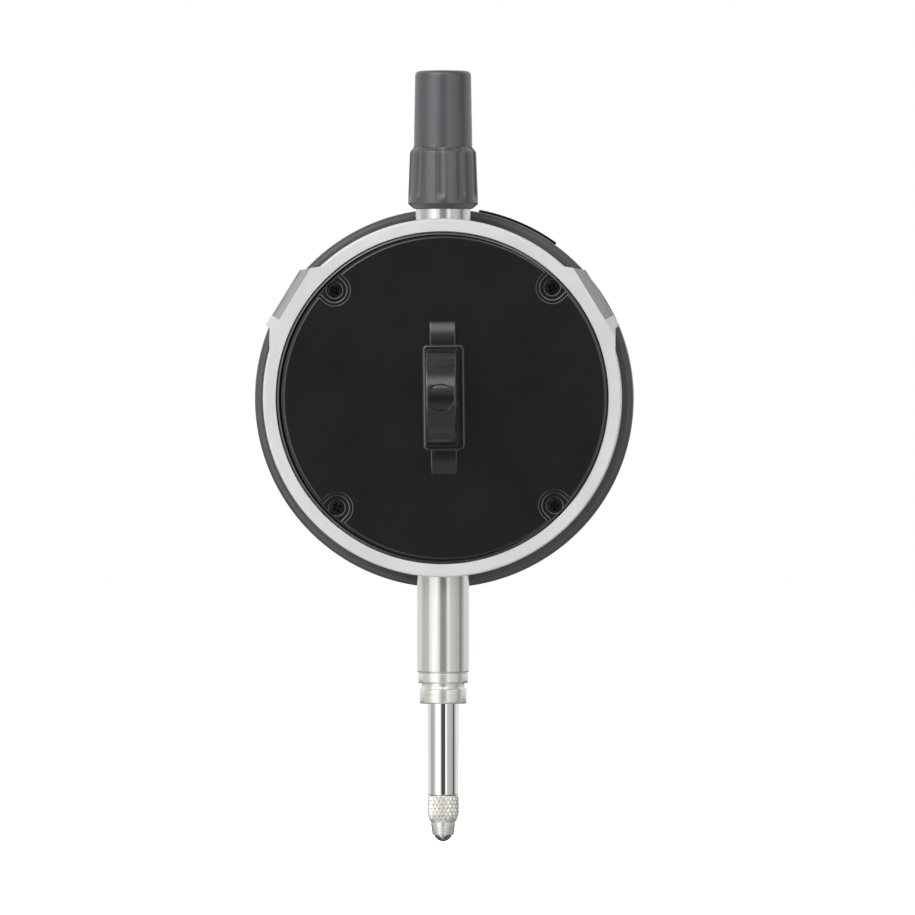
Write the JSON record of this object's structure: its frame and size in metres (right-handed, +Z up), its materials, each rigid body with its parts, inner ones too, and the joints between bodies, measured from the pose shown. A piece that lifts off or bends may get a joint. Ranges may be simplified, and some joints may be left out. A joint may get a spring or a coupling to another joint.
{
  "type": "digital indicator",
  "caption": "Digital indicator with a round two-tone case, back lug, plain stem, sliding spindle with ball contact, pull-off cap and a turning display.",
  "frame": {"origin": "on the spindle axis, at the middle of the stem's clamping length", "axes": "+Z up along the spindle towards the cap, -Y the way the display faces, +Y the way the back lug points"},
  "size_m": [0.0584, 0.0437, 0.1185],
  "materials": {
    "satin_alloy": "satin",
    "black_cover": "satin",
    "black_screw": "satin",
    "rubber": "matte",
    "ground_steel": "brushed",
    "polished_steel": "polished",
    "bearing_brass": "satin",
    "bearing_plastic": "satin",
    "circuit_board": "satin",
    "grey_housing": "satin",
    "clear_window": "polished",
    "screen": "polished",
    "button_plastic": "satin",
    "cap_plastic": "satin"
  },
  "bodies": {
    "body": {"case": "satin_alloy", "back_cover": "black_cover", "cover_gasket": "rubber", "cover_screws": "black_screw", "stem": "ground_steel", "lower_bush": "ground_steel", "spindle_wiper": "rubber", "inner_bush": "bearing_brass", "stop_buffer": "rubber", "top_sleeve": "ground_steel", "upper_bush": "bearing_brass", "guide_rod": "ground_steel", "rod_holders": "bearing_brass", "spring_anchor": "bearing_brass", "return_spring": "ground_steel", "reader_board": "circuit_board", "reader_screws": "ground_steel", "flex_cable": "circuit_board", "friction_washer": "bearing_plastic", "retaining_ring": "ground_steel"},
    "spindle": {"spindle": "polished_steel", "contact_point": "ground_steel", "contact_ball": "polished_steel", "stop_collar": "bearing_brass", "scale_carriage": "satin_alloy", "carriage_screws": "ground_steel", "encoder_scale": "circuit_board"},
    "display": {"display_housing": "grey_housing", "front_bezel": "grey_housing", "window": "clear_window", "screen_frame": "bearing_plastic", "screen_glass": "screen", "contact_strips": "rubber", "main_board": "circuit_board", "board_screws": "ground_steel", "battery_contact": "bearing_brass", "switch_domes": "ground_steel"},
    "battery": {"battery_tray": "black_cover", "coin_cell": "polished_steel"},
    "cap": {"dust_cap": "cap_plastic"},
    "button_left": {"button_left": "button_plastic"},
    "button_middle": {"button_middle": "button_plastic"},
    "button_right": {"button_right": "button_plastic"}
  },
  "joints": [
    {"name": "spindle_travel", "type": "slide", "parent": "body", "child": "spindle", "axis": [0, 0, 1], "range_m": [0, 0.0127], "stiffness_N_per_m": 40, "springref_m": -0.03, "deforming": ["return_spring"]},
    {"name": "display_turn", "type": "hinge", "parent": "body", "child": "display", "pos_m": [0, 0, 0.03485], "axis": [0, -1, 0], "range_deg": [-135, 135]},
    {"name": "tray_slide", "type": "slide", "parent": "display", "child": "battery", "axis": [-0.3923, 0, 0.9198], "range_m": [0, 0.022]},
    {"name": "cap_pull", "type": "slide", "parent": "body", "child": "cap", "axis": [0, 0, 1], "range_m": [0, 0.02]},
    {"name": "press_left", "type": "slide", "parent": "display", "child": "button_left", "axis": [0, 1, 0], "range_m": [0, 0.0004], "stiffness_N_per_m": 800, "springref_m": -0.0005},
    {"name": "press_middle", "type": "slide", "parent": "display", "child": "button_middle", "axis": [0, 1, 0], "range_m": [0, 0.0004], "stiffness_N_per_m": 800, "springref_m": -0.0005},
    {"name": "press_right", "type": "slide", "parent": "display", "child": "button_right", "axis": [0, 1, 0], "range_m": [0, 0.0004], "stiffness_N_per_m": 800, "springref_m": -0.0005}
  ]
}
